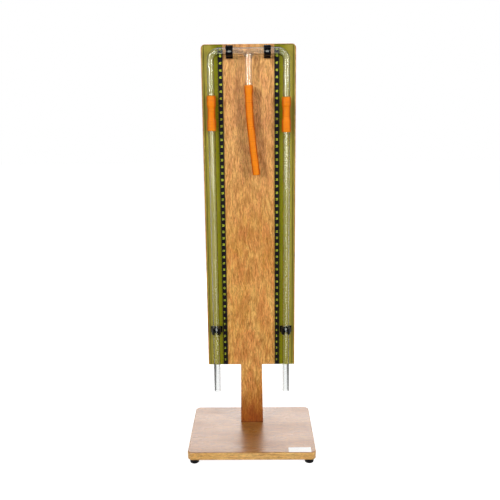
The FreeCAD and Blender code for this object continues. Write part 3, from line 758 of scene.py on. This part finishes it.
class SubAssembly:
    """A group of pieces of the apparatus that share one body."""

    def dress_nodes(self, material: Material, *names: str) -> None:
        """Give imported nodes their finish.

        Args:
            material: The finish.
            names: The nodes' names.
        """
        for name in names:
            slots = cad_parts[name].data.materials
            if not slots:
                slots.append(material)
            for index in range(len(slots)):
                slots[index] = material
            log.info("node %s wears %s", name, material.name)

    def attach(self, piece: Piece, material: Material, slot: str = "") -> None:
        """Dress a new piece and let it ride on the apparatus.

        Args:
            piece: The piece.
            material: Its finish.
            slot: Not used.
        """
        piece.data.materials.append(material)
        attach(piece, BODY)
        log.info("piece %s, %d faces, wears %s", piece.name, len(piece.data.polygons), material.name)


MIDDLE = Vector((0.0, 0.0, 0.33))
GLASS_BENDS = Vector((0.0, 0.0, 0.6))
SOFTBOX_TARGET = Vector((0.0, 0.0, 0.65))
SOFTBOX_DISTANCE = 2.2
SOFTBOX_HEIGHT = 1.15


def softbox_place(degrees: float) -> Vector:
    """Return a softbox's place, turned so far to the right from straight in front."""
    angle = math.radians(degrees)
    return Vector((math.sin(angle) * SOFTBOX_DISTANCE, -math.cos(angle) * SOFTBOX_DISTANCE, SOFTBOX_HEIGHT))


@dataclass(frozen=True)
class Lamp:
    """One soft rectangular lamp, in metres and watts. It points straight back unless it has a target."""

    name: str
    place: Vector
    size: Span
    power: float
    target: Vector | None = None
    through_glass: bool = True
    on_matt: bool = True
    tubes_only: bool = False

    def add(self, tubes: bpy.types.Collection) -> None:
        """Add the lamp to the scene.

        Args:
            tubes: The lower tubes, which a near card lights alone.
        """
        data = bpy.data.lights.new(self.name, "AREA")
        data.shape = "RECTANGLE"
        data.size, data.size_y = self.size
        data.energy = self.power
        lamp = add_object(self.name, data)
        lamp.location = self.place
        ahead = BACKWARDS if self.target is None else self.target - self.place
        lamp.rotation_euler = ahead.to_track_quat("-Z", "Y").to_euler()
        lamp.visible_camera = False
        lamp.visible_transmission = self.through_glass
        lamp.visible_diffuse = self.on_matt
        if self.tubes_only:
            lamp.light_linking.receiver_collection = tubes
        log.info("lamp %s of %.1f W", self.name, self.power)


@dataclass
class Studio:
    """Camera, lamps, white surroundings and table. Places and sizes are in metres."""

    camera_place: Vector = millimetres(10.0, -910.2, 515.75)
    camera_reach: float = 30.0
    heading: float = math.atan2(-0.01134, 0.99994)
    pitch: float = math.radians(-12.33)
    roll: float = math.radians(0.586)
    lens: float = 44.02
    sensor: float = 36.0
    lamps: tuple[Lamp, ...] = (
        Lamp("left_softbox", softbox_place(-43.0), (0.36, 1.0), 35.5, SOFTBOX_TARGET),
        Lamp("right_softbox", softbox_place(49.0), (0.36, 1.0), 33.5, SOFTBOX_TARGET),
        Lamp("backdrop_glow", Vector((0.0, 1.05, 0.62)), (1.3, 0.8), 12.6, MIDDLE, through_glass=False),
        Lamp("left_bend_card", Vector((-0.41, -0.98, 1.09)), (0.32, 0.32), 3.6, GLASS_BENDS, on_matt=False),
        Lamp("right_bend_card", Vector((0.41, -0.98, 1.09)), (0.32, 0.32), 3.6, GLASS_BENDS, on_matt=False),
        Lamp("low_card", Vector((0.08, -0.30, 0.26)), (0.18, 0.48), 1.4, through_glass=False,
             on_matt=False, tubes_only=True),
        Lamp("upper_card", Vector((-0.10, -0.30, 0.475)), (0.85, 0.21), 2.5, through_glass=False,
             on_matt=False, tubes_only=True),
        Lamp("high_card", Vector((-0.66, -0.98, 0.600)), (0.34, 0.14), 1.4, on_matt=False),
        Lamp("top_card", Vector((0.0, -0.62, 1.80)), (1.5, 0.5), 4.0, MIDDLE, on_matt=False))
    table_reach: float = 6.0

    def add_camera(self) -> None:
        """Place the camera where the photograph was taken from."""
        data = bpy.data.cameras.new("photo_camera")
        data.lens = self.lens
        data.sensor_width = self.sensor
        data.clip_end = self.camera_reach
        camera = add_object("photo_camera", data)
        level = Vector((math.sin(self.heading), math.cos(self.heading), 0.0))
        forward = level * math.cos(self.pitch) + UP * math.sin(self.pitch)
        right = forward.cross(UP).normalized()
        up = right.cross(forward)
        rolled_right = right * math.cos(self.roll) - up * math.sin(self.roll)
        rolled_up = up * math.cos(self.roll) + right * math.sin(self.roll)
        turn = Matrix((rolled_right, rolled_up, -forward)).transposed().to_4x4()
        camera.matrix_world = Matrix.Translation(self.camera_place) @ turn
        bpy.context.scene.camera = camera
        log.info("camera at %s", tuple(round(part, 4) for part in self.camera_place))

    def light(self) -> None:
        """Add two softboxes in front, the glow of the backdrop, and cards that only gloss and glass show."""
        tubes = bpy.data.collections.new("lower_tubes")
        for side in Side:
            tubes.objects.link(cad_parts[f"{side.word}_lower_tube"])
        for lamp in self.lamps:
            lamp.add(tubes)

    def add_table(self) -> None:
        """Add the table under the feet."""
        reach = self.table_reach
        corners = [Vector((-reach, -reach, 0.0)), Vector((reach, -reach, 0.0)),
                   Vector((reach, reach, 0.0)), Vector((-reach, reach, 0.0))]
        table = add_mesh("table_top", corners, [(0, 1, 2, 3)])
        table.data.materials.append(TABLE.make())

    def build(self) -> None:
        """Light the apparatus and put the table under it."""
        bpy.context.scene.view_settings.view_transform = "Standard"
        self.light()
        bpy.context.scene.world = ROOM.make()
        self.add_table()


@dataclass
class SuctionHose(SubAssembly):
    """Rubber hose that hangs from the stem of the glass, swollen where it is pushed over it.

    Its length and diameter are in metres, and the radii and distances of its wall in millimetres.
    """

    route: tuple[Vector, ...] = (
        millimetres(0.0, 9.0, 560.0), millimetres(0.0, 9.0, 530.0),
        millimetres(4.5, 9.0, 479.0), millimetres(10.6, 9.0, 430.0))
    length: float = 0.1305
    diameter: float = 0.0113
    swollen_end: tuple[Span, ...] = (
        (0.0, 5.55), (0.15, 5.95), (0.5, 6.25), (1.1, 6.4), (3.0, 6.34), (6.0, 6.36), (8.5, 6.4),
        (10.0, 6.34), (11.0, 6.14), (12.0, 5.90), (13.0, 5.74))
    swollen_to: float = 14.5
    ripples_from: float = 16.0
    ripples_end: float = 2.0
    ripple_step: float = 1.5
    ripple: float = 0.035
    ripple_waves: tuple[Triple, ...] = ((0.55, 0.0, 1.0), (1.31, 0.8, 0.6))
    lip: tuple[Span, ...] = ((0.9, 0.0), (0.35, 0.12), (0.08, 0.4), (0.0, 0.75))
    bore: float = 4.0
    bore_flare: float = 0.35
    bore_run: float = 10.0
    seat: float = 5.1
    seat_flare: float = 0.2
    seat_depth: float = 10.0
    seat_taper: float = 1.5
    flare_depth: float = 0.3
    sides: int = 56
    route_steps: int = 48

    def centre_line(self) -> list[Vector]:
        """Read the route's own smooth curve.

        Returns:
            The points along it, in metres.
        """
        data = bpy.data.curves.new("hose_route", "CURVE")
        data.dimensions = "3D"
        spline = data.splines.new("NURBS")
        spline.points.add(len(self.route) - 1)
        for point, place in zip(spline.points, self.route):
            point.co = (*place, 1.0)
        spline.order_u = 3
        spline.use_endpoint_u = True
        spline.resolution_u = self.route_steps
        carrier = add_object("hose_route", data)
        mesh = shaped(carrier)
        points = [vertex.co.copy() for vertex in mesh.vertices]
        bpy.data.meshes.remove(mesh)
        bpy.data.objects.remove(carrier)
        bpy.data.curves.remove(data)
        return points

    def profile(self, length: float) -> list[Span]:
        """Return the wall's outline as distances down the hose and radii, outside first, in millimetres.

        Args:
            length: The hose's length in millimetres.

        Returns:
            The outline's corners, in order round the wall.
        """
        slim = self.diameter / MM / 2
        outline = [*self.swollen_end, (self.swollen_to, slim)]
        place = self.ripples_from
        while place < length - self.ripples_end:
            swing = sum(share * math.sin(place * pace + start) for pace, start, share in self.ripple_waves)
            outline.append((place, slim - abs(self.ripple * swing)))
            place += self.ripple_step
        outline += [(length - back, slim - inset) for back, inset in self.lip]
        outline += [
            (length, self.bore + self.bore_flare), (length - self.flare_depth, self.bore),
            (length - self.bore_run, self.bore), (length / 2, self.bore),
            (self.seat_depth + self.seat_taper, self.bore), (self.seat_depth, self.seat),
            (self.flare_depth, self.seat), (0.0, self.seat + self.seat_flare)]
        return outline

    def build(self) -> None:
        line = self.centre_line()
        reached = [0.0]
        for before, after in zip(line, line[1:]):
            reached.append(reached[-1] + (after - before).length)
        total = reached[-1]

        def station(distance: float) -> tuple[Vector, Vector]:
            """Find a place on the hose's centre line.

            Args:
                distance: How far down the hose it is, in metres.

            Returns:
                The place, and the sideways direction there.
            """
            index = next((i for i, end in enumerate(reached[1:]) if end >= distance), len(line) - 2)
            share = (distance - reached[index]) / (reached[index + 1] - reached[index])
            along = (line[index + 1] - line[index]).normalized()
            return line[index].lerp(line[index + 1], share), along.cross(BACKWARDS).normalized()

        outline = self.profile(total / MM)
        points: list[Vector] = []
        for distance, radius in outline:
            centre, sideways = station(min(max(distance * MM, 0.0), total))
            for step in range(self.sides):
                angle = 2 * math.pi * step / self.sides
                outwards = sideways * math.cos(angle) + BACKWARDS * math.sin(angle)
                points.append(centre + outwards * radius * MM)
        faces = []
        for ring in range(len(outline)):
            here = ring * self.sides
            following = (ring + 1) % len(outline) * self.sides
            for step in range(self.sides):
                beside = (step + 1) % self.sides
                faces.append((here + step, following + step, following + beside, here + beside))
        hose = add_mesh("hanging_hose", points, faces, smooth=True)
        self.attach(hose, RUBBER.make(), "orange_rubber")
        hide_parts("suction_hose")


@dataclass
class WoodenStand(SubAssembly):
    """Backboard, base, feet and the bare label on the base."""

    label_left: float = 56.0
    label_right: float = 90.3
    label_front: float = -73.4
    label_back: float = -59.8
    label_underside: float = 20.02
    label_thickness: float = 0.12
    label_corner: float = 0.8
    label_inset: float = 0.28
    label_lift: float = 0.25
    lift_across: float = 0.85
    lift_back: float = 0.7
    label_columns: int = 24
    label_rows: int = 12

    def label_point(self, across: float, back: float) -> Vector:
        """Return a point of the label's underside, its corners rounded and one of them lifting a little.

        Args:
            across: Its share of the way from the left edge to the right one.
            back: Its share of the way from the front edge to the back one.

        Returns:
            The point, in metres.
        """
        width = self.label_right - self.label_left
        depth = self.label_back - self.label_front
        x = self.label_left + width * across
        y = self.label_front + depth * back
        if max(min(across, 1 - across) * width, min(back, 1 - back) * depth) < self.label_corner:
            x += self.label_inset if across < 0.5 else -self.label_inset
            y += self.label_inset if back < 0.5 else -self.label_inset
        lift = self.label_lift * max(0.0, across - self.lift_across) / (1 - self.lift_across)
        lift *= max(0.0, back - self.lift_back) / (1 - self.lift_back)
        return millimetres(x, y, self.label_underside + lift)

    def make_label(self) -> Piece:
        """Make the paper label as a thin closed sheet.

        Returns:
            The label.
        """
        columns, rows = self.label_columns, self.label_rows
        under = [self.label_point(column / columns, row / rows)
                 for row in range(rows + 1) for column in range(columns + 1)]
        thickness = UP * self.label_thickness * MM
        stride = columns + 1
        faces = []
        for row in range(rows):
            for column in range(columns):
                first = row * stride + column
                quad = (first, first + 1, first + stride + 1, first + stride)
                faces.append(tuple(index + len(under) for index in quad))
                faces.append(tuple(reversed(quad)))
        rim = list(range(columns))
        rim += [row * stride + columns for row in range(rows)]
        rim += [rows * stride + column for column in range(columns, 0, -1)]
        rim += [row * stride for row in range(rows, 0, -1)]
        for before, after in zip(rim, rim[1:] + rim[:1]):
            faces.append((before, after, after + len(under), before + len(under)))
        return add_mesh("bare_label", under + [point + thickness for point in under], faces)

    def build(self) -> None:
        """Dress the wooden parts and the feet and add the label."""
        self.dress_nodes(BOARD_WOOD.make(), "backboard")
        self.dress_nodes(BASE_WOOD.make(), "base_board")
        feet = [f"{end}_{side.word}_foot" for end in ("front", "rear") for side in Side]
        self.dress_nodes(FOOT_RUBBER.make(), *feet)
        self.attach(self.make_label(), LABEL_PAPER.make())


@dataclass
class PrintedScales(SubAssembly):
    """Scale sheets, their number bands, and the numbers and division lines printed on them."""

    sheet_face: float = 18.5
    zero: float = 121.7
    pitch: float = 10.0
    count: int = 49
    window_centre: float = 41.3
    tile_width: float = 4.5
    tile_height: float = 3.9
    tile_corner: float = 0.2
    corner_steps: int = 3
    digit_size: float = 4.5
    digit_squeeze: float = 0.74
    digit_weight: float = 0.09
    digit_steps: int = 3
    single_shift: float = -0.9
    line_start: float = 44.5
    line_lengths: Triple = (1.2, 1.8, 2.6)
    line_weights: Triple = (0.40, 0.42, 0.50)
    lowest_line: int = 3
    highest_line: int = 494
    tile_proud: float = 0.05
    ink_proud: float = 0.09

    def printed(self, side: Side, number: int, corners: list[Span], proud: float) -> list[Vector]:
        """Return corners round the middle of a number's window, on the face of the sheet.

        Args:
            side: Which scale they are on.
            number: The window's number.
            corners: The corners across and up from the window's middle, in millimetres.
            proud: How far they stand out from the sheet, in millimetres.

        Returns:
            The corners, in metres.
        """
        middle = side.value * self.window_centre
        height = self.zero + self.pitch * number
        return [millimetres(middle + x, self.sheet_face - proud, height + z) for x, z in corners]

    def tile_mesh(self, side: Side) -> Piece:
        """Return the dark fields that the numbers stand on, inside the band's windows.

        Args:
            side: Which scale they are on.

        Returns:
            The fields, as one object.
        """
        across = self.tile_width / 2 - self.tile_corner
        up = self.tile_height / 2 - self.tile_corner
        corners = []
        for quarter, (x, z) in enumerate(((across, up), (-across, up), (-across, -up), (across, -up))):
            for step in range(self.corner_steps + 1):
                angle = math.pi / 2 * (quarter + step / self.corner_steps)
                corners.append((x + self.tile_corner * math.cos(angle),
                                z + self.tile_corner * math.sin(angle)))
        points: list[Vector] = []
        faces = []
        for number in range(1, self.count + 1):
            faces.append(tuple(range(len(points), len(points) + len(corners))))
            points += self.printed(side, number, corners, self.tile_proud)
        return add_mesh(f"{side.word}_number_tiles", points, faces)

    def number_shapes(self) -> list[NumberShape]:
        """Shape the numbers.

        Returns:
            Each number's flat outline as corners across and up, in millimetres, and faces.
        """
        shapes = []
        data = bpy.data.curves.new("number_text", "FONT")
        data.size = self.digit_size
        data.offset = self.digit_weight
        data.align_x = "CENTER"
        data.align_y = "CENTER"
        data.resolution_u = self.digit_steps
        carrier = add_object("number_text", data)
        for number in range(1, self.count + 1):
            data.body = str(number)
            mesh = shaped(carrier)
            corners = [(vertex.co.x, vertex.co.y) for vertex in mesh.vertices]
            left, right = (pick(x for x, _ in corners) for pick in (min, max))
            low, high = (pick(y for _, y in corners) for pick in (min, max))
            aside = self.single_shift if number < 10 else 0.0
            centred = [((x - (left + right) / 2) * self.digit_squeeze + aside, y - (low + high) / 2)
                       for x, y in corners]
            shapes.append((centred, [tuple(polygon.vertices) for polygon in mesh.polygons]))
            bpy.data.meshes.remove(mesh)
        bpy.data.objects.remove(carrier)
        bpy.data.curves.remove(data)
        return shapes

    def number_mesh(self, side: Side, shapes: list[NumberShape]) -> Piece:
        """Return the printed numbers of one scale.

        Args:
            side: Which scale they are on.
            shapes: The outline of each number.

        Returns:
            The numbers, as one object.
        """
        points: list[Vector] = []
        faces = []
        for number, (corners, polygons) in enumerate(shapes, start=1):
            faces += [tuple(len(points) + index for index in polygon) for polygon in polygons]
            points += self.printed(side, number, corners, self.ink_proud)
        return add_mesh(f"{side.word}_numbers", points, faces)

    def line_mesh(self, side: Side) -> Piece:
        """Return the division lines of one scale, longer at each fifth and tenth.

        Args:
            side: Which scale they are on.

        Returns:
            The lines, as one object.
        """
        points: list[Vector] = []
        faces = []
        depth = self.sheet_face - self.tile_proud
        for count in range(self.lowest_line, self.highest_line + 1):
            rank = 2 if count % 10 == 0 else 1 if count % 5 == 0 else 0
            half = self.line_weights[rank] / 2
            left, right = sorted(
                side.value * (self.line_start + length) for length in (0.0, self.line_lengths[rank]))
            low, high = self.zero + count - half, self.zero + count + half
            first = len(points)
            points += [millimetres(x, depth, z)
                       for x, z in ((left, low), (right, low), (right, high), (left, high))]
            faces.append((first, first + 1, first + 2, first + 3))
        return add_mesh(f"{side.word}_division_lines", points, faces)

    def build(self) -> None:
        """Dress the sheets and bands and print the scales."""
        self.dress_nodes(SCALE_SHEET.make(), "left_scale", "right_scale")
        ink = NUMBER_INK.make()
        field = NUMBER_FIELD.make()
        numeral = NUMERAL.make()
        self.dress_nodes(ink, "left_number_band", "right_number_band")
        shapes = self.number_shapes()
        for side in Side:
            self.attach(self.tile_mesh(side), field, "number_print")
            self.attach(self.number_mesh(side, shapes), numeral, "scale_sheet")
            self.attach(self.line_mesh(side), ink, "number_print")


@dataclass
class Glassware(SubAssembly):
    """The blown glass piece, the two lower tubes, and the rubber couplings between them."""

    def build(self) -> None:
        """Dress the glass and the couplings."""
        self.dress_nodes(GLASS.make(), "glass_tee", "left_lower_tube", "right_lower_tube")
        self.dress_nodes(RUBBER.make(), "left_rubber_sleeve", "right_rubber_sleeve")


@dataclass
class Fastenings(SubAssembly):
    """Spring clips and screws."""

    def build(self) -> None:
        """Dress the clips and the screws."""
        clips = [f"{level}_{side.word}_clip" for level in ("upper", "lower") for side in Side]
        self.dress_nodes(CLIP_PLASTIC.make(), *clips)
        self.dress_nodes(SCREW_STEEL.make(), "foot_screws", "neck_screws", "clip_screws")


def main() -> None:
    """Build the scene, camera and hose first."""
    logging.basicConfig(level=logging.INFO, format="%(name)s: %(message)s")
    studio = Studio()
    studio.add_camera()
    SuctionHose().build()
    WoodenStand().build()
    PrintedScales().build()
    Glassware().build()
    Fastenings().build()
    studio.build()


if __name__ == "__main__":
    main()
